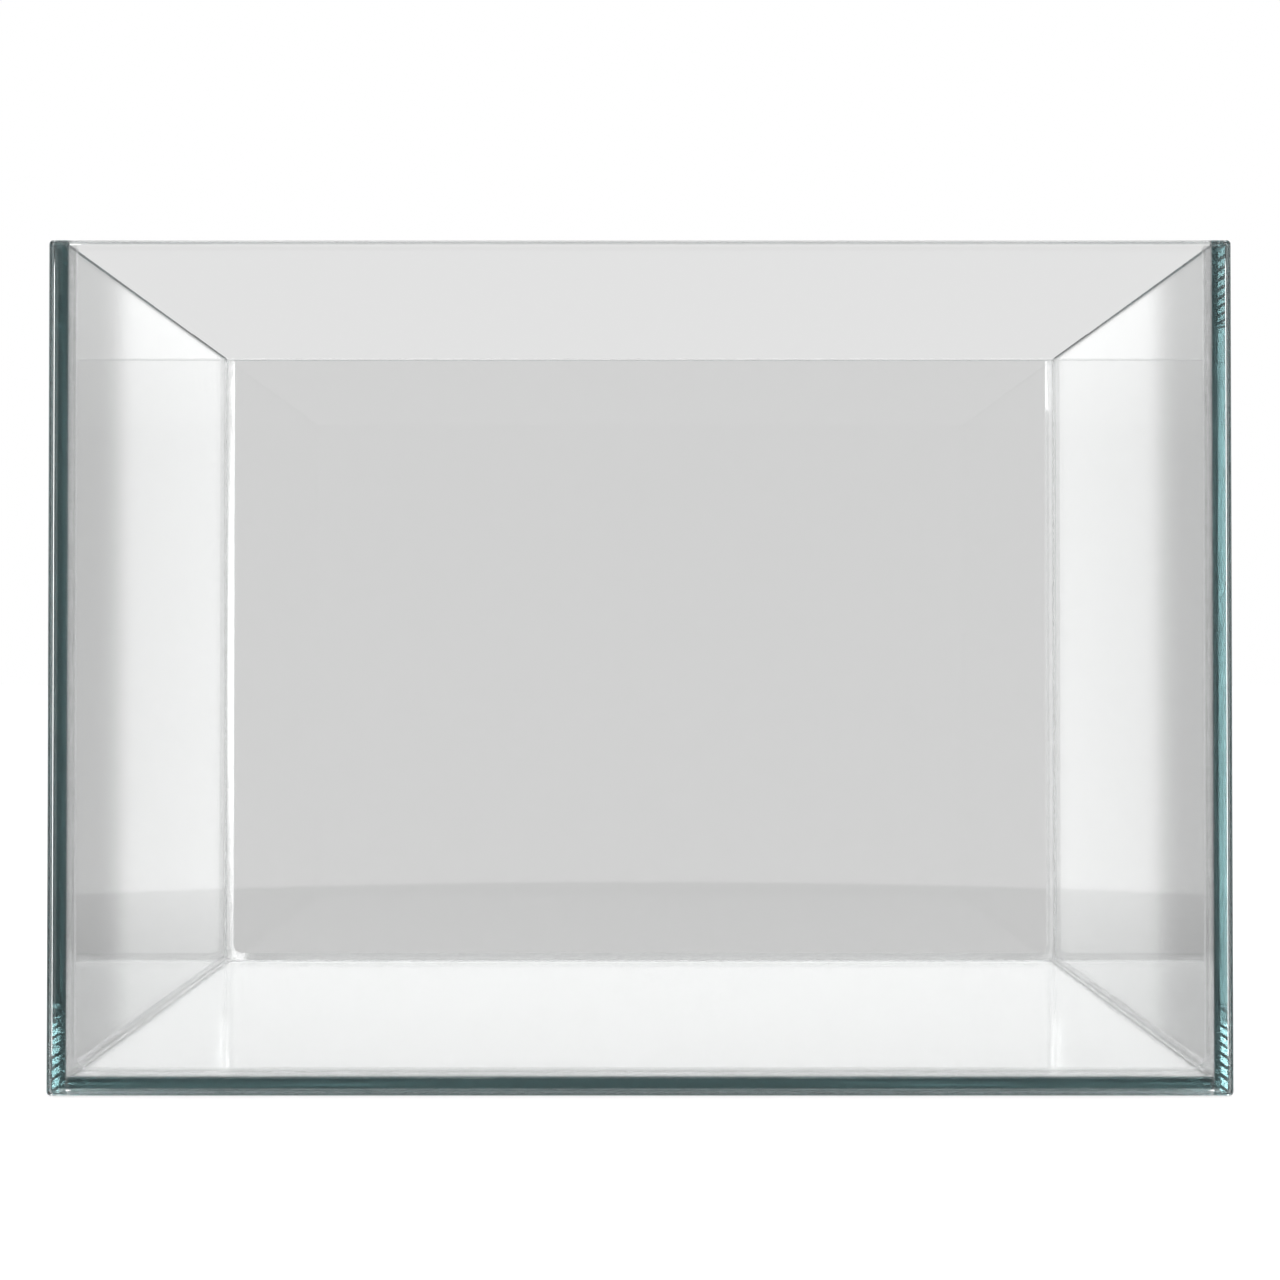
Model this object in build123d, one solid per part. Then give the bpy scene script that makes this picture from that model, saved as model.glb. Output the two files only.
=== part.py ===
from build123d import *

# Open-top rimless glass aquarium.
# Five panes of float glass are stuck together with clear silicone. The front and back panes run
# the full width, the side panes stand between them, and the floor pane lies inside all four walls.
# Every cut edge has a ground arris. Silicone fills the gap between each cut edge and the face it
# meets (the bond), and a hollow-faced fillet of silicone is drawn along each inside corner (the
# bead). Nothing moves.
#
# Millimetres and degrees. +X is to the viewer's right, +Y runs from front to back and +Z is up.
# The origin is the centre of the underside.

import os
from math import radians, sqrt, tan

# Outside size of the tank
tank_width = 360.0
tank_depth = 220.0
tank_height = 260.0

# Glass
glass_thickness = 5.0
edge_arris = 0.6  # ground bevel along both sides of every cut edge
corner_radius = 1.2  # on the corners of the full-width panes, so that they aren't sharp

# Silicone bond between a cut edge and the face it meets
bond_gap = 0.8
bond_recess = 0.4  # how far the bond stops short of the tank's underside and rim

# Silicone bead along an inside corner
bead_leg = 3.0  # how far it reaches over each pane
bead_edge_angle = 16.0  # between the glass and the bead's hollow face, where they meet
bead_rim_gap = 1.0  # how far the upright beads stop short of the rim

# Planes that the pieces share
half_width = tank_width / 2
half_depth = tank_depth / 2
wall_x = half_width - glass_thickness  # inner face of the side panes
wall_y = half_depth - glass_thickness  # inner face of the front and back panes
floor_z = glass_thickness  # upper face of the floor pane
cut_x = wall_x - bond_gap  # cut edges of the floor pane, left and right
cut_y = wall_y - bond_gap  # cut edges of the side panes and the floor pane, front and back

# From an inside corner to the middle of the bead's hollow face. The hollow is an arc over the
# bead's chord, which lies at 45 degrees to both panes.
bead_chord_distance = bead_leg / sqrt(2)
bead_throat = bead_chord_distance * (1 - tan(radians(45 - bead_edge_angle) / 2))

# Side of the tank that a piece is on, as the sign of its X or Y
across_sides = {"left": -1, "right": 1}
along_sides = {"front": -1, "back": 1}


def block(x_ends, y_ends, z_ends):
    """A box between two values on each axis, in either order."""
    ends = [sorted(pair) for pair in (x_ends, y_ends, z_ends)]
    middle = [(low + high) / 2 for low, high in ends]
    size = [high - low for low, high in ends]
    return Pos(*middle) * Box(*size)


def with_arris(pane, thickness_axis):
    """Grinds the arris round both big faces of a pane, which look along thickness_axis."""
    big_faces = pane.faces().filter_by(thickness_axis)
    return chamfer([edge for face in big_faces for edge in face.edges()], edge_arris)


# Panes of glass


def full_width_pane(along):
    """The front or back pane: full width and height, with its four corners rounded."""
    pane = block((-half_width, half_width), (along * wall_y, along * half_depth), (0, tank_height))
    pane = fillet(pane.edges().filter_by(Axis.Y), corner_radius)
    return with_arris(pane, Axis.Y)


def side_pane(across):
    """The left or right pane, full height, which stands between the front and back panes."""
    pane = block((across * wall_x, across * half_width), (-cut_y, cut_y), (0, tank_height))
    return with_arris(pane, Axis.X)


def floor_pane():
    """The floor, which lies inside the four walls, flush with their lower edges."""
    return with_arris(block((-cut_x, cut_x), (-cut_y, cut_y), (0, floor_z)), Axis.Z)


# Silicone bonds: each fills its gap and the hollows that the arris leaves beside it


def upright_bond(across, along, side):
    """Between an upright cut edge of a side pane and the full-width pane that it meets."""
    gap = block(
        (across * wall_x, across * half_width),
        (along * (cut_y - edge_arris), along * wall_y),
        (bond_recess, tank_height - bond_recess),
    )
    return gap - side


def long_floor_bond(along, floor):
    """Between the floor's front or back cut edge and the full-width pane."""
    gap = block((-wall_x, wall_x), (along * (cut_y - edge_arris), along * wall_y), (bond_recess, floor_z))
    return gap - floor


def short_floor_bond(across, floor, long_bonds):
    """Between the floor's left or right cut edge and the side pane, up to both long bonds."""
    gap = block((across * (cut_x - edge_arris), across * wall_x), (-wall_y, wall_y), (bond_recess, floor_z))
    return gap - floor - long_bonds["front"] - long_bonds["back"]


# Silicone beads: one section along every inside corner


def bead(plane, corner, across, up, length):
    """A bead that starts on a plane, with its corner at a point and its legs along across and up."""
    x, y = corner
    across_end = (x + across * bead_leg, y)
    up_end = (x, y + up * bead_leg)
    hollow = (x + across * bead_throat / sqrt(2), y + up * bead_throat / sqrt(2))
    with BuildSketch(plane) as section:
        with BuildLine():
            Line(corner, across_end)
            ThreePointArc(across_end, hollow, up_end)
            Line(up_end, corner)
        make_face()
    return extrude(section.sketch, amount=length)


def long_floor_bead(along):
    """Along the floor in front or at the back, from side pane to side pane."""
    start = Plane(origin=(-wall_x, 0, 0), x_dir=(0, 1, 0), z_dir=(1, 0, 0))
    return bead(start, (along * wall_y, floor_z), -along, 1, 2 * wall_x)


def short_floor_bead(across, long_beads):
    """Along the floor at a side, scribed to both long beads."""
    start = Plane(origin=(0, wall_y, 0), x_dir=(1, 0, 0), z_dir=(0, -1, 0))
    whole = bead(start, (across * wall_x, floor_z), -across, 1, 2 * wall_y)
    return whole - long_beads["front"] - long_beads["back"]


def upright_bead(across, along, floor_beads):
    """Up an inside corner, scribed to the floor beads and ending below the rim."""
    start = Plane(origin=(0, 0, floor_z), x_dir=(1, 0, 0), z_dir=(0, 0, 1))
    length = tank_height - bead_rim_gap - floor_z
    whole = bead(start, (across * wall_x, along * wall_y), -across, -along, length)
    for floor_bead in floor_beads:
        whole = whole - floor_bead
    return whole


# The tank, node by node

floor = floor_pane()
full_width_panes = {name: full_width_pane(along) for name, along in along_sides.items()}
side_panes = {name: side_pane(across) for name, across in across_sides.items()}

long_bonds = {name: long_floor_bond(along, floor) for name, along in along_sides.items()}
short_bonds = {name: short_floor_bond(across, floor, long_bonds) for name, across in across_sides.items()}

long_beads = {name: long_floor_bead(along) for name, along in along_sides.items()}
short_beads = {name: short_floor_bead(across, long_beads) for name, across in across_sides.items()}

nodes = {"floor_pane": floor}
nodes |= {f"{name}_pane": pane for name, pane in (full_width_panes | side_panes).items()}
nodes |= {f"bond_floor_{name}": bond for name, bond in (long_bonds | short_bonds).items()}
nodes |= {f"bead_floor_{name}": floor_bead for name, floor_bead in (long_beads | short_beads).items()}

for along_name, along in along_sides.items():
    for across_name, across in across_sides.items():
        corner = f"{along_name}_{across_name}"
        beads_below = (long_beads[along_name], short_beads[across_name])
        nodes[f"bond_{corner}"] = upright_bond(across, along, side_panes[across_name])
        nodes[f"bead_{corner}"] = upright_bead(across, along, beads_below)

os.makedirs("parts", exist_ok=True)
for name, solid in nodes.items():
    export_step(solid, f"parts/{name}.step")
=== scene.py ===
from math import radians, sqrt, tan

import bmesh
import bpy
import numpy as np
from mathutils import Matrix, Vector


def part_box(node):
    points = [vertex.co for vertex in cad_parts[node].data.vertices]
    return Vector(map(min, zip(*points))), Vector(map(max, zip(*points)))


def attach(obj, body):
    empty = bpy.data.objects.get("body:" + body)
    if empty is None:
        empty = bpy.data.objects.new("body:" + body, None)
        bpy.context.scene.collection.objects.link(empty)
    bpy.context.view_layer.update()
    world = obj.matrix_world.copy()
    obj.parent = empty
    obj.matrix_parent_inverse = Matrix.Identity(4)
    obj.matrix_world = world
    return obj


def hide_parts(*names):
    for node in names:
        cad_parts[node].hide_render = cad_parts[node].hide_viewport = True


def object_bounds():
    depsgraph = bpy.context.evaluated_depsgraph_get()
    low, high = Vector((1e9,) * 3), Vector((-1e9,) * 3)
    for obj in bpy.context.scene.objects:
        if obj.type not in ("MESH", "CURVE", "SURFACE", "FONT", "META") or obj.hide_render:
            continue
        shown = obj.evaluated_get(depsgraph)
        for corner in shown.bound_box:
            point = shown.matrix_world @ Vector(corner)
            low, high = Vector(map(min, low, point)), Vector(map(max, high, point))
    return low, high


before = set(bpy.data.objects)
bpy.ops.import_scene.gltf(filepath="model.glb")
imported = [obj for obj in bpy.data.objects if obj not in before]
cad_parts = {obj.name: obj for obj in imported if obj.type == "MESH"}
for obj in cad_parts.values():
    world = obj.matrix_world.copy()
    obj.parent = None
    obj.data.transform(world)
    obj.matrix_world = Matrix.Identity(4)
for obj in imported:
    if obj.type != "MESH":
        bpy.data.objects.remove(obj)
cad_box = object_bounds()

# %% [markdown]
# # A rimless glass tank
# The tank is five panes of float glass, stuck together with clear silicone and nothing else.
# Glass has almost no look of its own. We see it by what it does to light: it dims whatever
# stands behind it, it turns into a mirror at a shallow angle, and it is deep teal along its edges.
# So this lesson spends its care on three things: glass with a body that swallows light,
# silicone laid run by run, and a studio that gives the panes something to show.

mm = 0.001
half_width, half_depth, tank_height = cad_box[1]
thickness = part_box("floor_pane")[1].z
wall_x = half_width - thickness
wall_y = half_depth - thickness
floor_z = thickness
cut_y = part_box("floor_pane")[1].y
bond_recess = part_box("bond_front_left")[0].z
bead_leg = wall_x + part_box("bead_front_left")[1].x
bead_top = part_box("bead_front_left")[1].z
arris = 0.6 * mm
print(f"tank {2 * half_width:.3f} x {2 * half_depth:.3f} x {tank_height:.3f} m")
print(f"glass {thickness / mm:.1f} mm, joints {(wall_y - cut_y) / mm:.1f} mm, beads {bead_leg / mm:.1f} mm")

# %% [markdown]
# ## The camera
# The front pane keeps its right angles in the picture, so the camera looks at it squarely, from
# about half the tank's height. A longer lens further away would make the back pane look nearly as
# large as the front one. Here the back pane is clearly smaller, which takes a 50 mm lens little
# more than half a metre from the glass.

# %% Camera
camera_gap = 0.540  # from the lens to the front pane
camera_height = 0.1325
camera_lift = 0.6  # degrees above level

camera_data = bpy.data.cameras.new("camera")
camera_data.lens = 50
camera_data.sensor_width = 36
camera = bpy.data.objects.new("camera", camera_data)
camera.location = (0, -half_depth - camera_gap, camera_height)
camera.rotation_euler = (radians(90 + camera_lift), 0, 0)
scene = bpy.context.scene
scene.collection.objects.link(camera)
scene.camera = camera
print("camera at", [round(value, 4) for value in camera.location])

# %% [markdown]
# ## Small helpers for node trees
# Materials, node groups and the studio all need the same small steps: put a number or a link
# into a socket, do a sum, read a noise, stretch a range, ask whether a value lies between two
# ends, and start a material or a group. Clicking would do for one material. As functions, the
# same steps read like formulas and can't drift apart.

# %% Helpers for node trees


def feed(tree, value, socket):
    """Links an output to a socket, or writes a plain value into it."""
    if isinstance(value, bpy.types.NodeSocket):
        tree.links.new(value, socket)
    else:
        socket.default_value = value


def calculate(tree, operation, *values, clamp=False):
    """One sum on numbers or outputs. With clamp, the result is held between 0 and 1."""
    node = tree.nodes.new("ShaderNodeMath")
    node.operation = operation
    node.use_clamp = clamp
    for value, socket in zip(values, node.inputs):
        feed(tree, value, socket)
    return node.outputs[0]


def noise(tree, position, scale, detail):
    """Soft random patches over space, about 0.5 on average; scale is patches per metre."""
    node = tree.nodes.new("ShaderNodeTexNoise")
    feed(tree, position, node.inputs["Vector"])
    feed(tree, scale, node.inputs["Scale"])
    feed(tree, detail, node.inputs["Detail"])
    return node.outputs["Fac"]


def stretch_range(tree, value, low, high, to_low, to_high):
    """Moves a value from the range low..high to the range to_low..to_high, and holds it there."""
    node = tree.nodes.new("ShaderNodeMapRange")
    for number, socket in zip((value, low, high, to_low, to_high), node.inputs):
        feed(tree, number, socket)
    return node.outputs[0]


def within(tree, value, low, high):
    """1 where a value lies between two plain numbers, and 0 elsewhere."""
    return calculate(tree, "COMPARE", value, (low + high) / 2, (high - low) / 2)


def new_material(name):
    """An empty node material. Returns it with its tree and its output node."""
    material = bpy.data.materials.new(name)
    material.use_nodes = True
    tree = material.node_tree
    tree.nodes.clear()
    return material, tree, tree.nodes.new("ShaderNodeOutputMaterial")


def new_group(name, inputs, outputs):
    """An empty shader node group. Returns it with its input sockets and its output sockets."""
    group = bpy.data.node_groups.new(name, "ShaderNodeTree")
    for title, kind in inputs.items():
        group.interface.new_socket(title, in_out="INPUT", socket_type="NodeSocket" + kind)
    for title, kind in outputs.items():
        group.interface.new_socket(title, in_out="OUTPUT", socket_type="NodeSocket" + kind)
    return group, group.nodes.new("NodeGroupInput").outputs, group.nodes.new("NodeGroupOutput").inputs


def place_group(tree, group, **values):
    """Puts a group into a tree and feeds its inputs by name, with spaces written as underscores."""
    node = tree.nodes.new("ShaderNodeGroup")
    node.node_tree = group
    for title, value in values.items():
        feed(tree, value, node.inputs[title.replace("_", " ")])
    return node.outputs


print("helpers ready")

# %% [markdown]
# ## What hands leave on glass
# Float glass is flat to a few thousandths of a millimetre, but it isn't perfect: it has a slow
# draw ripple, and a wiped pane keeps a film of streaks that takes the last edge off its shine.
# One noise, drawn out long in the direction of the wiping, does for the film, and a slow
# noise for the ripple. All three kinds of pane use them, so they are a node group.

# %% Node group: wiped face
ripples_per_metre = 18.0
film_starts = 0.45  # value of the streaks' noise below which the glass is clean
film_full = 0.75


def wiped_face():
    """Roughness from wiping streaks, and height in metres from the ripple of drawn glass."""
    group, given, result = new_group(
        "wiped_face",
        {"Position": "Vector", "Streaks": "Vector", "Film": "Float", "Ripple": "Float"},
        {"Roughness": "Float", "Height": "Float"},
    )
    drawn_out = group.nodes.new("ShaderNodeVectorMath")
    drawn_out.operation = "MULTIPLY"
    feed(group, given["Position"], drawn_out.inputs[0])
    feed(group, given["Streaks"], drawn_out.inputs[1])
    streaks = noise(group, drawn_out.outputs[0], 1.0, 3.0)
    film = stretch_range(group, streaks, film_starts, film_full, 0.0, 1.0)
    feed(group, calculate(group, "MULTIPLY", film, given["Film"]), result["Roughness"])
    ripple = noise(group, given["Position"], ripples_per_metre, 1.0)
    feed(group, calculate(group, "MULTIPLY", ripple, given["Ripple"]), result["Height"])
    return group


wiped_face_group = wiped_face()
print("group", wiped_face_group.name)

# %% [markdown]
# ## Ground edges
# A cut edge is ground: square, then with a small bevel, the arris, along both its sides. The
# wheel leaves fine lines along the edge, and a finer wheel polishes them away. The front and
# back panes keep a satin edge here, and the side panes have a polished one. Glued edges show no
# lines at all, because silicone wets and clears them. The mask needs no painting: a point is on
# the edge if it lies within an arris of the pane's outline, which is a sum on its position.

# %% Node group: ground edge
lines_per_metre = 2500.0


def ground_edge():
    """A mask for the free edges of a pane, and the height in metres of the grinding lines on them.

    The margin of a point is its pane's half size minus its distance from the pane's centre, on
    the axis where that is smallest. The mask is 1 where the margin is under the arris. An axis
    whose half size is given as a metre takes no part.
    """
    group, given, result = new_group(
        "ground_edge",
        {
            "Position": "Vector",
            "Centre": "Vector",
            "Half Size": "Vector",
            "Arris": "Float",
            "Depth": "Float",
        },
        {"Mask": "Float", "Height": "Float"},
    )
    from_centre = group.nodes.new("ShaderNodeVectorMath")
    from_centre.operation = "SUBTRACT"
    feed(group, given["Position"], from_centre.inputs[0])
    feed(group, given["Centre"], from_centre.inputs[1])
    distance = group.nodes.new("ShaderNodeVectorMath")
    distance.operation = "ABSOLUTE"
    feed(group, from_centre.outputs[0], distance.inputs[0])
    margin = group.nodes.new("ShaderNodeVectorMath")
    margin.operation = "SUBTRACT"
    feed(group, given["Half Size"], margin.inputs[0])
    feed(group, distance.outputs[0], margin.inputs[1])
    axes = group.nodes.new("ShaderNodeSeparateXYZ")
    feed(group, margin.outputs[0], axes.inputs[0])
    nearest = calculate(group, "MINIMUM", axes.outputs["X"], axes.outputs["Y"])
    nearest = calculate(group, "MINIMUM", nearest, axes.outputs["Z"])
    mask = calculate(group, "LESS_THAN", nearest, given["Arris"])
    feed(group, mask, result["Mask"])
    lines = noise(group, given["Position"], lines_per_metre, 2.0)
    depth = calculate(group, "MULTIPLY", lines, given["Depth"])
    feed(group, calculate(group, "MULTIPLY", depth, mask), result["Height"])
    return group


ground_edge_group = ground_edge()
print("group", ground_edge_group.name)

# %% [markdown]
# ## Float glass
# Through its face a 5 mm pane is nearly colourless. Light that travels along a pane crosses
# two hundred millimetres of it and comes out teal, because iron in the glass takes red first. A
# green surface colour would tint the faces as well. Volume absorption gets both right with one
# setting: light dies away with every millimetre, red fastest, so five millimetres hardly count
# and a whole pane's length does. The surface is smooth, clear and slightly grey, so that a wall
# seen through two panes is as grey as it should be.

# %% Material: float glass
pane_clearness = (0.880, 0.868, 0.866, 1)  # what one crossing of a pane keeps, besides reflection
glass_index = 1.50
glass_body = (0.080, 0.315, 0.330, 1)
glass_density = 12.3
film_roughness = 0.02
draw_ripple = 3e-6  # height in metres
satin_edge = (0.20, 1.5e-6)  # roughness, and depth of the grinding lines in metres
polished_edge = (0.01, 0.0)


def float_glass(name, centre, half_size, streaks, edge_finish):
    """Clear glass with a teal body, a wiped film on its faces and a finish on its free edges.

    streaks gives how many patches of the film there are in a metre, on each axis.
    """
    edge_roughness, line_depth = edge_finish
    material, tree, output = new_material(name)
    position = tree.nodes.new("ShaderNodeTexCoord").outputs["Object"]
    face = place_group(
        tree,
        wiped_face_group,
        Position=position,
        Streaks=streaks,
        Film=film_roughness,
        Ripple=draw_ripple,
    )
    edge = place_group(
        tree,
        ground_edge_group,
        Position=position,
        Centre=centre,
        Half_Size=half_size,
        Arris=arris,
        Depth=line_depth,
    )
    bump = tree.nodes.new("ShaderNodeBump")
    bump.inputs["Distance"].default_value = 1.0
    feed(tree, calculate(tree, "ADD", face["Height"], edge["Height"]), bump.inputs["Height"])
    surface = tree.nodes.new("ShaderNodeBsdfPrincipled")
    surface.inputs["Base Color"].default_value = pane_clearness
    surface.inputs["IOR"].default_value = glass_index
    surface.inputs["Transmission Weight"].default_value = 1.0
    worn = calculate(tree, "MULTIPLY", edge["Mask"], edge_roughness)
    feed(tree, calculate(tree, "ADD", face["Roughness"], worn), surface.inputs["Roughness"])
    feed(tree, bump.outputs["Normal"], surface.inputs["Normal"])
    feed(tree, surface.outputs["BSDF"], output.inputs["Surface"])
    body = tree.nodes.new("ShaderNodeVolumeAbsorption")
    body.inputs["Color"].default_value = glass_body
    body.inputs["Density"].default_value = glass_density
    feed(tree, body.outputs["Volume"], output.inputs["Volume"])
    return material


far = 1.0  # a half size that keeps an axis out of the edge mask; the floor has no free edge
tank_middle = (0, 0, tank_height / 2)
glass_of_pane = {
    "front_pane": float_glass(
        "float_glass_wide", tank_middle, (half_width, far, tank_height / 2), (9, 60, 90), satin_edge
    ),
    "left_pane": float_glass(
        "float_glass_side", tank_middle, (far, far, tank_height / 2), (60, 9, 90), polished_edge
    ),
    "floor_pane": float_glass(
        "float_glass_floor", (0, 0, 0), (far, far, far), (12, 70, 60), polished_edge
    ),
}
glass_of_pane["back_pane"] = glass_of_pane["front_pane"]
glass_of_pane["right_pane"] = glass_of_pane["left_pane"]
for pane_name, material in glass_of_pane.items():
    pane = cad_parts[pane_name]
    pane.data.materials.clear()
    pane.data.materials.append(material)
print("glass on", sorted(glass_of_pane))

# %% [markdown]
# ## Clear silicone
# Sealant for tanks is called clear, but a thick run of it is faintly milky. The thin joints stay
# clear. Where a run met a finger it has a skin with slow ripples. One group gives a faint haze
# in cloudy patches, the skin's roughness and its ripples, and each of the two materials sets how
# much. The haze is about the same in both. The beads' skin is rougher, and ripples more.

# %% Node group: cured silicone
haze_per_metre = 140.0
skin_per_metre = 400.0
waves_per_metre = 160.0
red_kept = 0.985  # share of red in its colour, by green and blue


def cured_silicone():
    """Colour, roughness and height in metres of silicone that a finger drew into a corner."""
    group, given, result = new_group(
        "cured_silicone",
        {"Position": "Vector", "Haze": "Float", "Skin": "Float", "Ripple": "Float"},
        {"Color": "Color", "Roughness": "Float", "Height": "Float"},
    )
    clouds = noise(group, given["Position"], haze_per_metre, 2.0)
    haze = calculate(group, "MULTIPLY", clouds, given["Haze"])
    clear = calculate(group, "SUBTRACT", 1.0, haze)
    colour = group.nodes.new("ShaderNodeCombineColor")
    feed(group, calculate(group, "MULTIPLY", clear, red_kept), colour.inputs[0])
    feed(group, clear, colour.inputs[1])
    feed(group, clear, colour.inputs[2])
    feed(group, colour.outputs[0], result["Color"])
    skin = noise(group, given["Position"], skin_per_metre, 3.0)
    skin = stretch_range(group, skin, 0.3, 0.7, 0.5, 1.5)  # half to one and a half times
    feed(group, calculate(group, "MULTIPLY", skin, given["Skin"]), result["Roughness"])
    ripple = noise(group, given["Position"], waves_per_metre, 1.0)
    feed(group, calculate(group, "MULTIPLY", ripple, given["Ripple"]), result["Height"])
    return group


cured_silicone_group = cured_silicone()
print("group", cured_silicone_group.name)

# %% [markdown]
# ## Two silicones, and the seams that aren't there
# Two runs that meet while wet cure into one body, with no face between them. Here they are two
# closed pieces, so each has an end face at their meeting. Those faces carry an attribute named
# fused, and the material clears them away with its alpha, so light passes from one run into the
# next as it does in the real bead. The beads need one more thing. With every ray bent, much of
# the light in a thin run doesn't come out towards the room, and the run looks like grey plastic.
# Real silicone does bend every ray. As a stand-in for its faint look, more than half of the light
# passes a bead straight here.

# %% Materials: clear silicone
silicone_index = 1.41


def clear_silicone(name, presence, clear_share, haze, skin, ripple):
    """Silicone that acts on a share of the light, its presence, and lets the rest pass straight.

    Of the light that it acts on, it bends clear_share as clear stuff does and scatters the rest as
    milk does.
    """
    material, tree, output = new_material(name)
    position = tree.nodes.new("ShaderNodeTexCoord").outputs["Object"]
    cured = place_group(
        tree, cured_silicone_group, Position=position, Haze=haze, Skin=skin, Ripple=ripple
    )
    bump = tree.nodes.new("ShaderNodeBump")
    bump.inputs["Distance"].default_value = 1.0
    feed(tree, cured["Height"], bump.inputs["Height"])
    fused = tree.nodes.new("ShaderNodeAttribute")
    fused.attribute_name = "fused"
    surface = tree.nodes.new("ShaderNodeBsdfPrincipled")
    surface.inputs["IOR"].default_value = silicone_index
    surface.inputs["Transmission Weight"].default_value = clear_share
    feed(tree, cured["Color"], surface.inputs["Base Color"])
    feed(tree, cured["Roughness"], surface.inputs["Roughness"])
    shown = calculate(tree, "MULTIPLY_ADD", fused.outputs["Fac"], -presence, presence)
    feed(tree, shown, surface.inputs["Alpha"])
    feed(tree, bump.outputs["Normal"], surface.inputs["Normal"])
    feed(tree, surface.outputs["BSDF"], output.inputs["Surface"])
    return material


joint_silicone = clear_silicone(
    "clear_silicone_joint", presence=1.0, clear_share=1.0, haze=0.04, skin=0.01, ripple=1e-6
)
bead_silicone = clear_silicone(
    "clear_silicone_bead", presence=0.40, clear_share=0.70, haze=0.03, skin=0.06, ripple=5e-6
)
print("materials", joint_silicone.name, "and", bead_silicone.name)

# %% [markdown]
# ## A run is a section carried along a line
# A joint and a bead are both long and thin, with one section from end to end or one that
# changes slowly. A curve with a bevel would do for the even ones. Rings of points are as
# short to write, and they let a bead swell into its corners. All runs stop two hundredths of a
# millimetre off the glass, because two faces in one place confuse a renderer.

# %% From rings to a closed piece
skin_gap = 0.02 * mm
crease_angle = radians(35)
x_axis, y_axis, z_axis = range(3)


def place_section(section, along, axis, first, second):
    """Rings in space, as an array (stations, points, 3), from sections (stations, points, 2).

    A section's two columns are distances from two planes. first and second each give such a plane as
    its axis, its place and the side that the run lies on; along gives the stations on the third axis.
    """
    rings = np.empty(section.shape[:2] + (3,))
    rings[:, :, axis] = np.asarray(along)[:, None]
    for column, (plane_axis, plane, side) in enumerate((first, second)):
        rings[:, :, plane_axis] = plane + side * (section[:, :, column] + skin_gap)
    return rings


def skin_rings(name, rings, material, fused_strips=(), fused_ends=(False, False)):
    """A closed piece through rings of points, with a face at both ends.

    Face k of ring i joins points k and k + 1 of ring i to the same points of ring i + 1. Points
    that share a place become one, which takes the faces between them away.
    """
    stations, points, _ = rings.shape
    index = np.arange(stations * points).reshape(stations, points)
    here, ahead = index[:-1], index[1:]
    strips = np.stack([here, np.roll(here, -1, 1), np.roll(ahead, -1, 1), ahead], -1)
    faces = strips.reshape(-1, 4).tolist() + [index[0, ::-1].tolist(), index[-1].tolist()]
    fused = np.zeros((stations - 1, points))
    fused[:, list(fused_strips)] = 1
    fused = np.append(fused.ravel(), fused_ends).astype(np.float32)
    mesh = bpy.data.meshes.new(name)
    mesh.from_pydata(rings.reshape(-1, 3), [], faces)
    mesh.attributes.new("fused", "FLOAT", "FACE").data.foreach_set("value", fused)
    work = bmesh.new()
    work.from_mesh(mesh)
    bmesh.ops.remove_doubles(work, verts=work.verts, dist=0.0001 * mm)
    bmesh.ops.recalc_face_normals(work, faces=work.faces)
    work.to_mesh(mesh)
    work.free()
    mesh.shade_smooth()
    mesh.set_sharp_from_angle(angle=crease_angle)
    mesh.materials.append(material)
    piece = bpy.data.objects.new(name, mesh)
    scene.collection.objects.link(piece)
    return piece


print("rings stop", skin_gap / mm, "mm off the glass")

# %% [markdown]
# ## Joints: the silicone between edge and face
# Each cut edge stands a little off the face that it is glued to, and silicone fills the gap and
# the two hollows beside the arrises. Seen from outside it is drawn in slightly, as glue that
# shrinks a little is. Its section is a shallow arc and four points, carried straight along.

# %% Joints
sides_across = {"left": -1, "right": 1}
sides_along = {"front": -1, "back": 1}
shrink_depth = 0.12 * mm
arc_steps = np.linspace(0, 1, 7)


def joint_section(width, gap):
    """One closed outline, from the face that a cut edge meets.

    The first column runs across the glass's thickness and the second runs from the face, over
    the gap, to the cut edge and its arrises. The outline's start side dips inwards by half a
    sine wave.
    """
    gap = gap - 2 * skin_gap
    width = width - 2 * skin_gap
    depth = shrink_depth * np.sin(np.pi * arc_steps)
    outer = np.stack([depth, (gap + arris) * (1 - arc_steps)], -1)
    inner = [(width, 0), (width, gap + arris), (width - arris, gap), (arris, gap)]
    return np.vstack([outer, inner])


def joint(name, node, section, ends, axis, first, second):
    """Carries a joint's section between two ends and puts the piece in its node's place."""
    section = np.broadcast_to(section, (2,) + section.shape)
    rings = place_section(section, ends, axis, first, second)
    piece = skin_rings(name, rings, joint_silicone)
    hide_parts(node)
    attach(piece, "root")


joint_gap = wall_y - cut_y
open_section = joint_section(thickness, joint_gap)
floor_section = joint_section(floor_z - bond_recess, joint_gap)
upright_ends = (bond_recess, tank_height - bond_recess)
long_end = wall_x - skin_gap
short_end = cut_y - arris - skin_gap
for along_name, along in sides_along.items():
    for across_name, across in sides_across.items():
        corner_name = f"{along_name}_{across_name}"
        joint(
            f"joint_{corner_name}",
            f"bond_{corner_name}",
            open_section,
            upright_ends,
            z_axis,
            (x_axis, across * half_width, -across),
            (y_axis, along * wall_y, -along),
        )
    joint(
        f"joint_floor_{along_name}",
        f"bond_floor_{along_name}",
        floor_section,
        (-long_end, long_end),
        x_axis,
        (z_axis, bond_recess, 1),
        (y_axis, along * wall_y, -along),
    )
for across_name, across in sides_across.items():
    joint(
        f"joint_floor_{across_name}",
        f"bond_floor_{across_name}",
        floor_section,
        (-short_end, short_end),
        y_axis,
        (z_axis, bond_recess, 1),
        (x_axis, across * wall_x, -across),
    )
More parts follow.
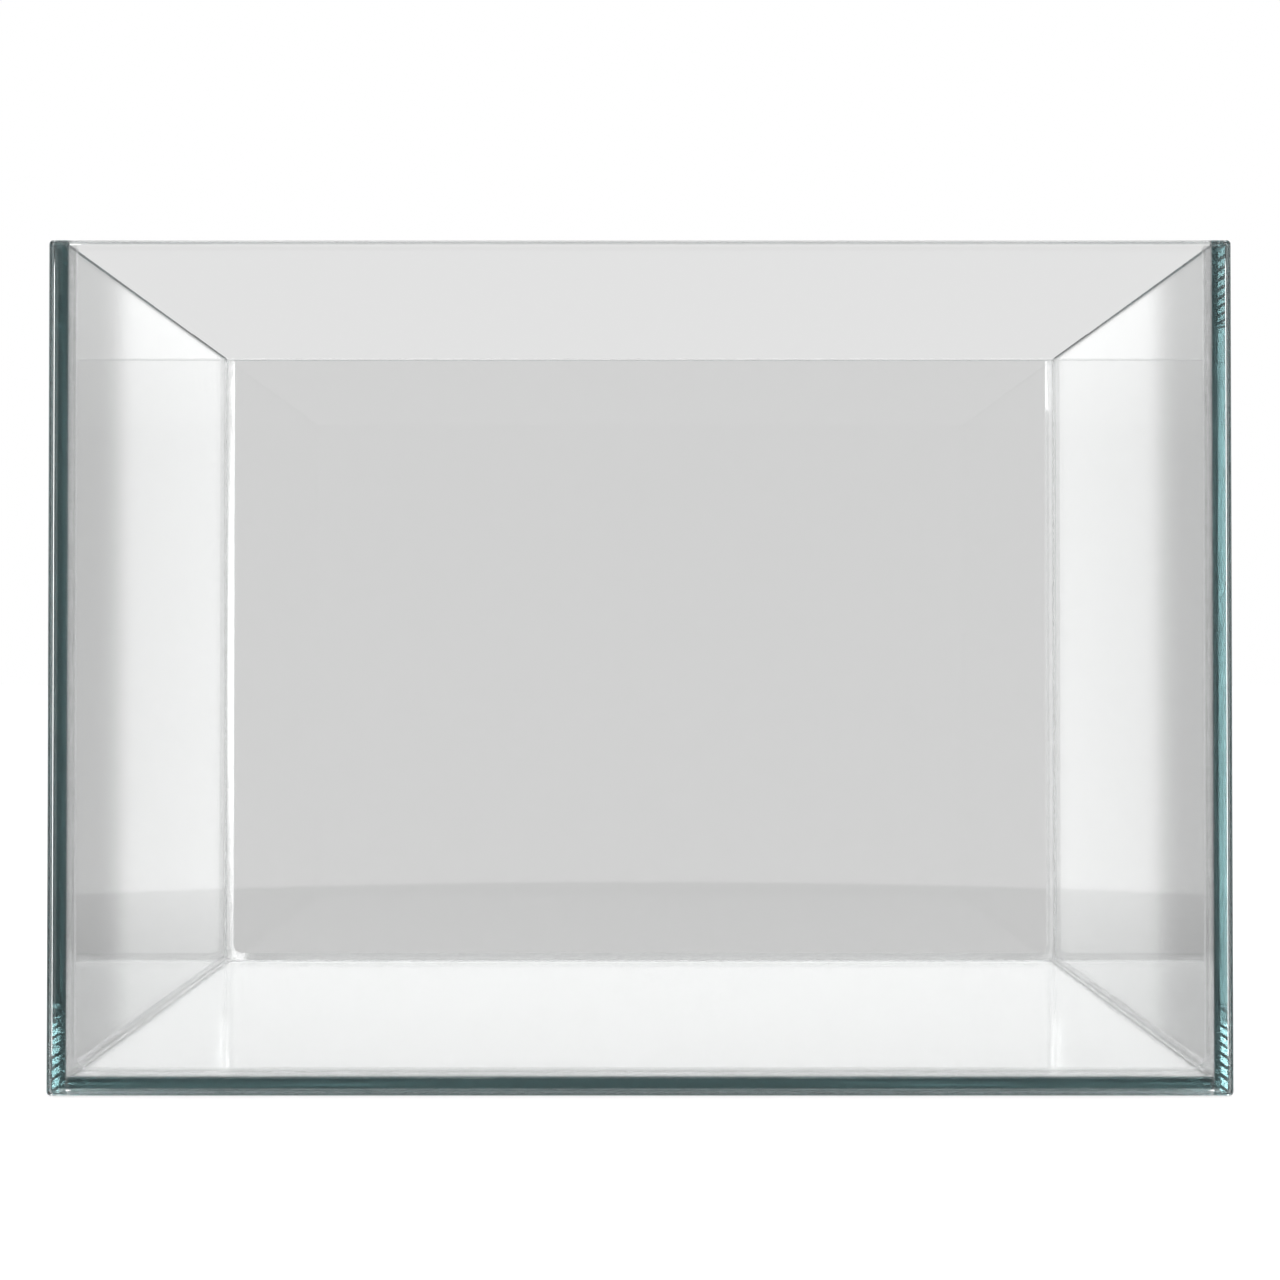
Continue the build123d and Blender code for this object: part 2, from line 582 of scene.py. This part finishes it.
print(f"8 joints over a gap of {joint_gap / mm:.1f} mm")

# %% [markdown]
# ## Beads: hollow runs that a finger drew
# A finger pressed along a corner leaves a hollow. Where two panes meet, it is a piece of a
# cylinder. In the lower corners three panes meet, and the finger's tip leaves a piece of a ball,
# so the bead's outline on each pane swings round the corner instead of turning sharply. Both come
# from one rule. Near a corner the bead's reach over the glass grows along a quarter circle,
# and the last stretch, a small block in the very corner, is hollowed by the ball that fits the
# three runs. Nothing shows more clearly than this whether a tank was glued by hand.

# %% The section of a bead
edge_angle = 16  # degrees between the glass and the hollow, where they meet
edge_slope = tan(radians(edge_angle))
corner_round = 3.3 * mm  # radius of the outline's swing round a lower corner
arc_share = np.linspace(0, 1, 13)
block = bead_leg + corner_round * (1 - sqrt(0.5))  # edge of the block in a lower corner
ball_centre = block / (1 - edge_slope)
ball_square = 2 * (ball_centre - block) ** 2 + ball_centre**2


def bead_outline(reach, cut, centre):
    """Sections of a bead, as an array (stations, points, 2) of distances from its two panes.

    Each outline goes from the corner along a pane as far as the reach, up by the cut, along an
    arc about a centre on the diagonal to the mirrored point, and back. All three are arrays.
    """
    start = np.arctan2(cut - centre, reach - centre)
    end = np.arctan2(reach - centre, cut - centre)
    radius = np.hypot(reach - centre, cut - centre)
    angle = start[:, None] + (end - start)[:, None] * arc_share
    turned = np.stack([np.cos(angle), np.sin(angle)], -1)
    arc = centre[:, None, None] + radius[:, None, None] * turned
    none = np.zeros_like(reach)
    corner = np.stack([none, none], -1)[:, None]
    foot = np.stack([reach, none], -1)[:, None]
    return np.concatenate([corner, foot, arc, foot[:, :, ::-1]], 1)


def bead_section(distance, wander):
    """A bead's outlines at these distances from the pane that crosses its end.

    Past the corner the reach is the leg, with a slow wander. From there in, it grows along a quarter
    circle up to the block. In the block the reach stays, and the cut rises along the ball.
    """
    into_round = np.clip(bead_leg + corner_round - distance, 0, corner_round * sqrt(0.5))
    reach = bead_leg + corner_round - np.sqrt(corner_round**2 - into_round**2) + wander
    in_block = distance < block
    left = ball_square - (ball_centre - block) ** 2 - (ball_centre - distance) ** 2
    cut = np.where(in_block, ball_centre - np.sqrt(np.maximum(left, 0)), 0)
    centre = reach / (1 - edge_slope)
    return bead_outline(reach, cut, centre)


print(f"corner block {block / mm:.2f} mm, ball radius {sqrt(ball_square) / mm:.2f} mm")

# %% [markdown]
# ## Stations where the shape needs them
# A straight stretch could do with two rings. But no finger keeps one pressure, so the bead's
# edge wanders by a few hundredths of a millimetre over a few centimetres. It is a sum of sine
# waves that dies out near the corners, where the runs have to match.

# %% The eight beads
station_step = 4 * mm
station_margin = 10 * mm  # at both ends of a run, where the corner's own stations are closer
wander_size = 0.04 * mm
wander_lengths = np.array([71, 43, 26, 17]) * mm
wander_start = 8 * mm  # from a corner to where the wander sets in
wander_fade = 20 * mm  # from there to where it is whole


def stations(low, high, low_corner, high_corner):
    """Places along a bead: close together within a corner's round, and one step apart elsewhere."""
    in_block = np.linspace(0, block, 9)
    in_round = np.linspace(block, bead_leg + corner_round, 7)[1:]
    close = np.concatenate([in_block, in_round])
    even = np.arange(low + station_margin, high - station_margin, station_step)
    at_low = low_corner + close if low_corner is not None else []
    at_high = high_corner - close if high_corner is not None else []
    every = np.concatenate([[low, high], at_low, even, at_high])
    return np.unique(np.round(every[(every >= low) & (every <= high)], 7))


def wander(along, distance, seed):
    """The slow drift of a bead's edge: four sine waves, which set in gently past the corners."""
    phase = np.random.default_rng(seed).uniform(0, 2 * np.pi, 4)
    waves = np.sin(2 * np.pi * along[:, None] / wander_lengths + phase).mean(1)
    return wander_size * waves * np.clip((distance - wander_start) / wander_fade, 0, 1)


def bead(name, node, ends, corners, axis, first, second, seed):
    """Lays one bead between its ends; corners are the panes that cross it, or None at a free end.

    An end more than a millimetre off its crossing pane butts on another run, and is fused to it.
    """
    along = stations(*ends, *corners)
    distance = np.min([np.abs(along - corner) for corner in corners if corner is not None], axis=0)
    section = bead_section(distance, wander(along, distance, seed))
    rings = place_section(section, along, axis, first, second)
    strips = (1, section.shape[1] - 2)
    fused_ends = [corner is not None and abs(end - corner) > mm for end, corner in zip(ends, corners)]
    piece = skin_rings(name, rings, bead_silicone, strips, fused_ends)
    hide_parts(node)
    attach(piece, "root")
    return len(piece.data.polygons)


bead_faces = 0
butt = block + 2 * skin_gap  # from a pane to where a run that butts on a block begins
for number, (along_name, along) in enumerate(sides_along.items()):
    for across_name, across in sides_across.items():
        corner_name = f"{along_name}_{across_name}"
        bead_faces += bead(
            f"corner_run_{corner_name}",
            f"bead_{corner_name}",
            (floor_z + butt, bead_top),
            (floor_z, None),
            z_axis,
            (x_axis, across * wall_x, -across),
            (y_axis, along * wall_y, -along),
            10 + 2 * number + across,
        )
    bead_faces += bead(
        f"floor_run_{along_name}",
        f"bead_floor_{along_name}",
        (-long_end, long_end),
        (-wall_x, wall_x),
        x_axis,
        (y_axis, along * wall_y, -along),
        (z_axis, floor_z, 1),
        20 + number,
    )
for number, (across_name, across) in enumerate(sides_across.items()):
    bead_faces += bead(
        f"floor_run_{across_name}",
        f"bead_floor_{across_name}",
        (butt - wall_y, wall_y - butt),
        (-wall_y, wall_y),
        y_axis,
        (x_axis, across * wall_x, -across),
        (z_axis, floor_z, 1),
        30 + number,
    )
print("8 beads with", bead_faces, "faces")

# %% [markdown]
# ## The table
# The tank stands on a white table in front of a white wall. Seen directly both are paper
# white. The table keeps a soft shadow, so part of its white is its own glow and part is light
# that falls on it. Light that has come through glass sees painted light on the table under
# the tank, a glow brighter at the back and fading towards the front, and past the tank's foot
# it sees the studio instead.

# %% Table
table_drop = 0.4 * mm
table_half = 8.0
own_white = 0.70  # share of the table's white, seen directly, that no shadow can dim
table_colour = 0.90
table_colour_seen = 0.45  # for the eye and for light through glass, which also see it glow
mirror_level = 0.35  # brightness of what a first reflection shows, table and room alike
# Painted light: for light through glass the table glows, brighter towards the back, in place of light
# falling on it from behind.
painted_glow_middle = 1.74
painted_glow_slope = 2.5  # change of the glow per metre towards the back
sheet_inset = 2 * mm  # of the sheet with the painted glow from the tank's outline


def table_material():
    """White for the eye, pale for light, and a sheet with a painted glow under the tank for what looks
    through glass.
    """
    material, tree, output = new_material("studio_table")
    path = tree.nodes.new("ShaderNodeLightPath").outputs
    split = tree.nodes.new("ShaderNodeSeparateXYZ")
    feed(tree, tree.nodes.new("ShaderNodeTexCoord").outputs["Object"], split.inputs[0])
    across = calculate(tree, "ABSOLUTE", split.outputs["X"])
    along = calculate(tree, "ABSOLUTE", split.outputs["Y"])
    in_x = calculate(tree, "LESS_THAN", across, half_width - sheet_inset)
    in_y = calculate(tree, "LESS_THAN", along, half_depth - sheet_inset)
    under = calculate(tree, "MULTIPLY", in_x, in_y)
    seen = path["Is Camera Ray"]
    through = calculate(tree, "GREATER_THAN", path["Transmission Depth"], 0.5)
    through = calculate(tree, "MULTIPLY", through, calculate(tree, "SUBTRACT", 1.0, seen))
    not_through = calculate(tree, "SUBTRACT", 1.0, through)
    mirrored = calculate(tree, "MULTIPLY", path["Is Glossy Ray"], not_through)
    # Painted light: a glow that grows towards the back stands in for light falling on the table.
    glow = calculate(tree, "MULTIPLY_ADD", split.outputs["Y"], painted_glow_slope, painted_glow_middle)
    lit = calculate(tree, "MULTIPLY", through, glow)
    lit = calculate(tree, "MULTIPLY_ADD", mirrored, mirror_level, lit)
    emission = tree.nodes.new("ShaderNodeEmission")
    feed(tree, calculate(tree, "MULTIPLY_ADD", seen, own_white, lit), emission.inputs["Strength"])
    matt = tree.nodes.new("ShaderNodeBsdfDiffuse")
    direct = calculate(tree, "MAXIMUM", seen, through)
    level = calculate(tree, "MULTIPLY_ADD", direct, table_colour_seen - table_colour, table_colour)
    level = calculate(tree, "MULTIPLY", level, calculate(tree, "SUBTRACT", 1.0, mirrored))
    grey = tree.nodes.new("ShaderNodeCombineColor")
    for channel in grey.inputs:
        feed(tree, level, channel)
    feed(tree, grey.outputs[0], matt.inputs["Color"])
    both = tree.nodes.new("ShaderNodeAddShader")
    feed(tree, emission.outputs[0], both.inputs[0])
    feed(tree, matt.outputs[0], both.inputs[1])
    mix = tree.nodes.new("ShaderNodeMixShader")
    beside = calculate(tree, "MULTIPLY", through, calculate(tree, "SUBTRACT", 1.0, under))
    feed(tree, beside, mix.inputs[0])
    feed(tree, both.outputs[0], mix.inputs[1])
    feed(tree, tree.nodes.new("ShaderNodeBsdfTransparent").outputs[0], mix.inputs[2])
    feed(tree, mix.outputs[0], output.inputs["Surface"])
    return material


table_corners = np.array([(-1, -1, 0), (1, -1, 0), (1, 1, 0), (-1, 1, 0)]) * table_half
table_corners[:, z_axis] = -table_drop
table_mesh = bpy.data.meshes.new("studio_table")
table_mesh.from_pydata(table_corners, [], [(0, 1, 2, 3)])
table_mesh.materials.append(table_material())
table = bpy.data.objects.new("studio_table", table_mesh)
scene.collection.objects.link(table)
print("table", 2 * table_half, "m square")

# %% [markdown]
# ## The studio round the tank
# A photographer of glass lights the room, not the glass. We could build that room from planes. A
# sky made of directions is shorter and never casts a shadow: slope is how far a direction turns
# off the nearer of the two level axes, and rise is how steeply it climbs. Folded this way, the
# room is the same on all four sides.

# %% Slope and rise
world = bpy.data.worlds.new("studio")
scene.world = world
world.use_nodes = True
sky = world.node_tree
sky.nodes.clear()
direction = sky.nodes.new("ShaderNodeSeparateXYZ")
feed(sky, sky.nodes.new("ShaderNodeTexCoord").outputs["Generated"], direction.inputs[0])
level_x = calculate(sky, "ABSOLUTE", direction.outputs["X"])
level_y = calculate(sky, "ABSOLUTE", direction.outputs["Y"])
nearer = calculate(sky, "MAXIMUM", level_x, level_y)
slope = calculate(sky, "DIVIDE", calculate(sky, "MINIMUM", level_x, level_y), nearer)
rise = calculate(sky, "DIVIDE", direction.outputs["Z"], nearer)
height = calculate(sky, "ABSOLUTE", rise)
print("slope and rise from", len(sky.nodes), "nodes")

# %% [markdown]
# ## Wall, flags and ceiling
# Behind the tank hangs a white wall. Beside it is a bright stretch and then a grey flag, and the
# side panes show each as an even field. The dark strips up the tank's corners are the flags too,
# seen along the length of a side pane. Past a flag the room is bright, for the beads, and then
# it is plain wall again, because a tank seen at an angle would be lost in so much white. A flag
# is a little brighter at its head and dimmer at its foot. The ceiling makes everything above it
# nearly twice as bright.

# %% Wall, flags and ceiling
wall_level = 0.94
flag_stops = [  # slope, brightness
    (0.0, wall_level),
    (0.228, wall_level),
    (0.236, 1.38),
    (0.278, 1.29),
    (0.287, 1.25),
    (0.293, 1.03),
    (0.298, 0.87),
    (0.305, 0.80),
    (0.322, 0.78),
    (0.3245, 0.80),
    (0.345, 0.85),
    (0.360, 2.15),
    (0.50, 2.15),
    (0.54, wall_level),
    (1.0, wall_level),
]
brightest = 5.0  # what the ramp's white stands for
flag_slopes = (0.230, 0.321)  # of a flag and the bright stretch beside it
flag_head_rises = (0.12, 0.20)  # where a flag's middle changes into its head
flag_foot_rises = (-0.19, -0.125)  # where its foot changes into its middle
flag_head = 1.10  # brightness, by the middle's
flag_foot = 0.78
ceiling_rises = (0.28, 0.32)
ceiling = 1.8  # how many times as bright the room is above it

flags = sky.nodes.new("ShaderNodeValToRGB")
feed(sky, slope, flags.inputs[0])
while len(flags.color_ramp.elements) < len(flag_stops):
    flags.color_ramp.elements.new(1.0)
for stop, (place, level) in zip(flags.color_ramp.elements, flag_stops):
    stop.position = place
    stop.color = (level / brightest, level / brightest, level / brightest, 1)
room = calculate(sky, "MULTIPLY", flags.outputs[0], brightest)
head = stretch_range(sky, rise, *flag_head_rises, 0.0, flag_head - 1.0)
foot = stretch_range(sky, rise, *flag_foot_rises, flag_foot - 1.0, 0.0)
on_flag = within(sky, slope, *flag_slopes)
shading = calculate(sky, "MULTIPLY", calculate(sky, "ADD", head, foot), on_flag)
room = calculate(sky, "MULTIPLY", room, calculate(sky, "ADD", shading, 1.0))
room = calculate(sky, "MULTIPLY", room, stretch_range(sky, rise, *ceiling_rises, 1.0, ceiling))
print("wall and flags in", len(flag_stops), "stops")

# %% [markdown]
# ## Lights that only glass shows
# A narrow strip light far on the left brightens the strip up the right-hand corner. At the same
# slopes, but on both sides, a short stretch high up is bright for the ends of the corner strips,
# and a broad light hangs over the wall. The strip light is the one thing that isn't the same all
# round: seen from the front and the back it is on the left, and from the two sides on the right.

# %% Strip light, end lights and overhead light
strip_slopes = (0.3255, 0.336)
strip_reach = 0.27  # rise at its two ends
strip_level = 5.0
end_rises = (0.205, 0.260)
end_level = 9.0
overhead_rises = (0.300, 0.420)
overhead_reach = 0.45  # slope at its two ends
overhead_level = 6.0

turned = calculate(sky, "MULTIPLY", direction.outputs["X"], direction.outputs["Y"])
on_left = calculate(sky, "LESS_THAN", turned, 0.0)
in_reach = calculate(sky, "LESS_THAN", height, strip_reach)
at_strip = within(sky, slope, *strip_slopes)
in_strip = calculate(sky, "MULTIPLY", at_strip, calculate(sky, "MULTIPLY", on_left, in_reach))
room = calculate(sky, "MULTIPLY_ADD", in_strip, strip_level, room)
in_end = calculate(sky, "MULTIPLY", at_strip, within(sky, rise, *end_rises))
room = calculate(sky, "MULTIPLY_ADD", in_end, end_level, room)
over_reach = calculate(sky, "LESS_THAN", slope, overhead_reach)
in_overhead = calculate(sky, "MULTIPLY", within(sky, rise, *overhead_rises), over_reach)
room = calculate(sky, "MULTIPLY_ADD", in_overhead, overhead_level, room)
print("lights add", strip_level, end_level, "and", overhead_level, "to the room")

# %% [markdown]
# ## Over the rims, and down to the table
# Light that passes over the rims of the side panes sees the plain wall and no flag. From the
# camera those rims are slanting lines, so one ratio of rise to slope tells where they are. Low
# down, the table's far edge crosses the room, and everything below it is a little dimmer. Seen
# steeply downwards through glass, the table shines.

# %% Rim line and table edge
rim_line = 0.715  # rise per slope
rim_sharpness = 800.0  # a rise of 1/800 takes the room from flag to wall
table_edge = 0.1246  # how far the table's far edge lies below level, as a rise
table_bend = 0.07  # what the square of the slope adds to that
table_sharpness = 600.0
table_dim = 0.12
shine_rises = (-0.32, -0.26)
table_shine = 1.25

over_rim = calculate(sky, "SUBTRACT", rise, calculate(sky, "MULTIPLY", slope, rim_line))
over_rim = calculate(sky, "MULTIPLY", over_rim, rim_sharpness, clamp=True)
before_strips = calculate(sky, "LESS_THAN", slope, flag_slopes[1])
over_rim = calculate(sky, "MULTIPLY", over_rim, before_strips)
mix_wall = sky.nodes.new("ShaderNodeMix")
feed(sky, over_rim, mix_wall.inputs[0])
feed(sky, room, mix_wall.inputs[2])
feed(sky, wall_level, mix_wall.inputs[3])
room = mix_wall.outputs[0]

bend = calculate(sky, "MULTIPLY", calculate(sky, "MULTIPLY", slope, slope), table_bend)
edge = calculate(sky, "ADD", bend, table_edge)
below = calculate(sky, "MULTIPLY", calculate(sky, "ADD", rise, edge), -table_sharpness, clamp=True)
room = calculate(sky, "MULTIPLY", room, calculate(sky, "MULTIPLY_ADD", below, -table_dim, 1.0))
room = calculate(sky, "MULTIPLY", room, stretch_range(sky, rise, *shine_rises, table_shine, 1.0))
print(len(sky.nodes), "nodes of studio so far")

# %% [markdown]
# ## Who sees which room
# Light Path tells how a ray came to the room. One that has been through glass sees the flags and
# the lights. The eye that looks past the tank sees plain white. Light that a matt surface has
# scattered sees a bright even room, so that colours come out as they are written. A first
# reflection sees a dim room, or every pane would shine. In two narrow bands of directions the
# room is almost dark for light that was mirrored once inside the glass. No real room does
# that: the bands stand in for whatever keeps the strips along the tank's edges dark.

# %% Rays and rooms
matt_level = 0.90
border_slopes = (0.318, 0.345)  # of the band that the upright strips show
border_rises = (0.230, 0.252)  # of the bands that the level strips show, above and below
border_mirror = 0.02  # what is left there of light that was mirrored once

light_path = sky.nodes.new("ShaderNodeLightPath").outputs
unscattered = calculate(sky, "LESS_THAN", light_path["Diffuse Depth"], 0.5)
through_glass = calculate(sky, "GREATER_THAN", light_path["Transmission Depth"], 0.5)
through_glass = calculate(sky, "MULTIPLY", through_glass, unscattered)
once = calculate(sky, "COMPARE", light_path["Glossy Depth"], 1.0, 0.5)
in_uprights = within(sky, slope, *border_slopes)
in_lengths = within(sky, height, *border_rises)
in_border = calculate(sky, "MAXIMUM", in_uprights, in_lengths)
dimmed = calculate(sky, "MULTIPLY", calculate(sky, "MULTIPLY", once, in_border), border_mirror - 1.0)
room = calculate(sky, "MULTIPLY", room, calculate(sky, "ADD", dimmed, 1.0))
even = calculate(sky, "MULTIPLY_ADD", light_path["Is Camera Ray"], 1.0 - mirror_level, mirror_level)
scattered = calculate(sky, "GREATER_THAN", light_path["Diffuse Depth"], 0.5)
even = calculate(sky, "MULTIPLY_ADD", scattered, matt_level - mirror_level, even)
mix_room = sky.nodes.new("ShaderNodeMix")
feed(sky, through_glass, mix_room.inputs[0])
feed(sky, even, mix_room.inputs[2])
feed(sky, room, mix_room.inputs[3])
background = sky.nodes.new("ShaderNodeBackground")
background.inputs["Color"].default_value = (1, 1, 1, 1)
feed(sky, mix_room.outputs[0], background.inputs["Strength"])
feed(sky, background.outputs[0], sky.nodes.new("ShaderNodeOutputWorld").inputs["Surface"])
print("rooms: seen 1.0, mirrored", mirror_level, "and matt", matt_level)

# %% [markdown]
# ## One softbox overhead
# A single large lamp straight above gives the rims their thin white lines and the table its
# soft shadow. Its size is what makes the shadow soft: a smaller lamp at the same place would draw
# the tank's outline on the table.

# %% Softbox
softbox_size = 1.2
softbox_watts = 8
softbox_height = 1.6

softbox_data = bpy.data.lights.new("overhead_softbox", "AREA")
softbox_data.size = softbox_size
softbox_data.energy = softbox_watts
softbox = bpy.data.objects.new("overhead_softbox", softbox_data)
softbox.location = (0, 0, softbox_height)
softbox.visible_camera = False
softbox.visible_transmission = False
scene.collection.objects.link(softbox)
print("softbox", softbox_watts, "W")

# %% [markdown]
# ## Enough bounces for a light guide
# Light that enters the end of a side pane bounces between its faces eight or nine times before
# it leaves at the back, and each joint adds its own faces. With the usual limit much of it would
# die on the way, and the corner strips would be darker than they should be.

# %% Bounces and colour
bounce_limit = 32
scene.view_settings.view_transform = "Standard"
scene.cycles.max_bounces = bounce_limit
scene.cycles.glossy_bounces = bounce_limit
scene.cycles.transmission_bounces = bounce_limit
scene.cycles.transparent_max_bounces = bounce_limit
print("up to", bounce_limit, "bounces of each kind")
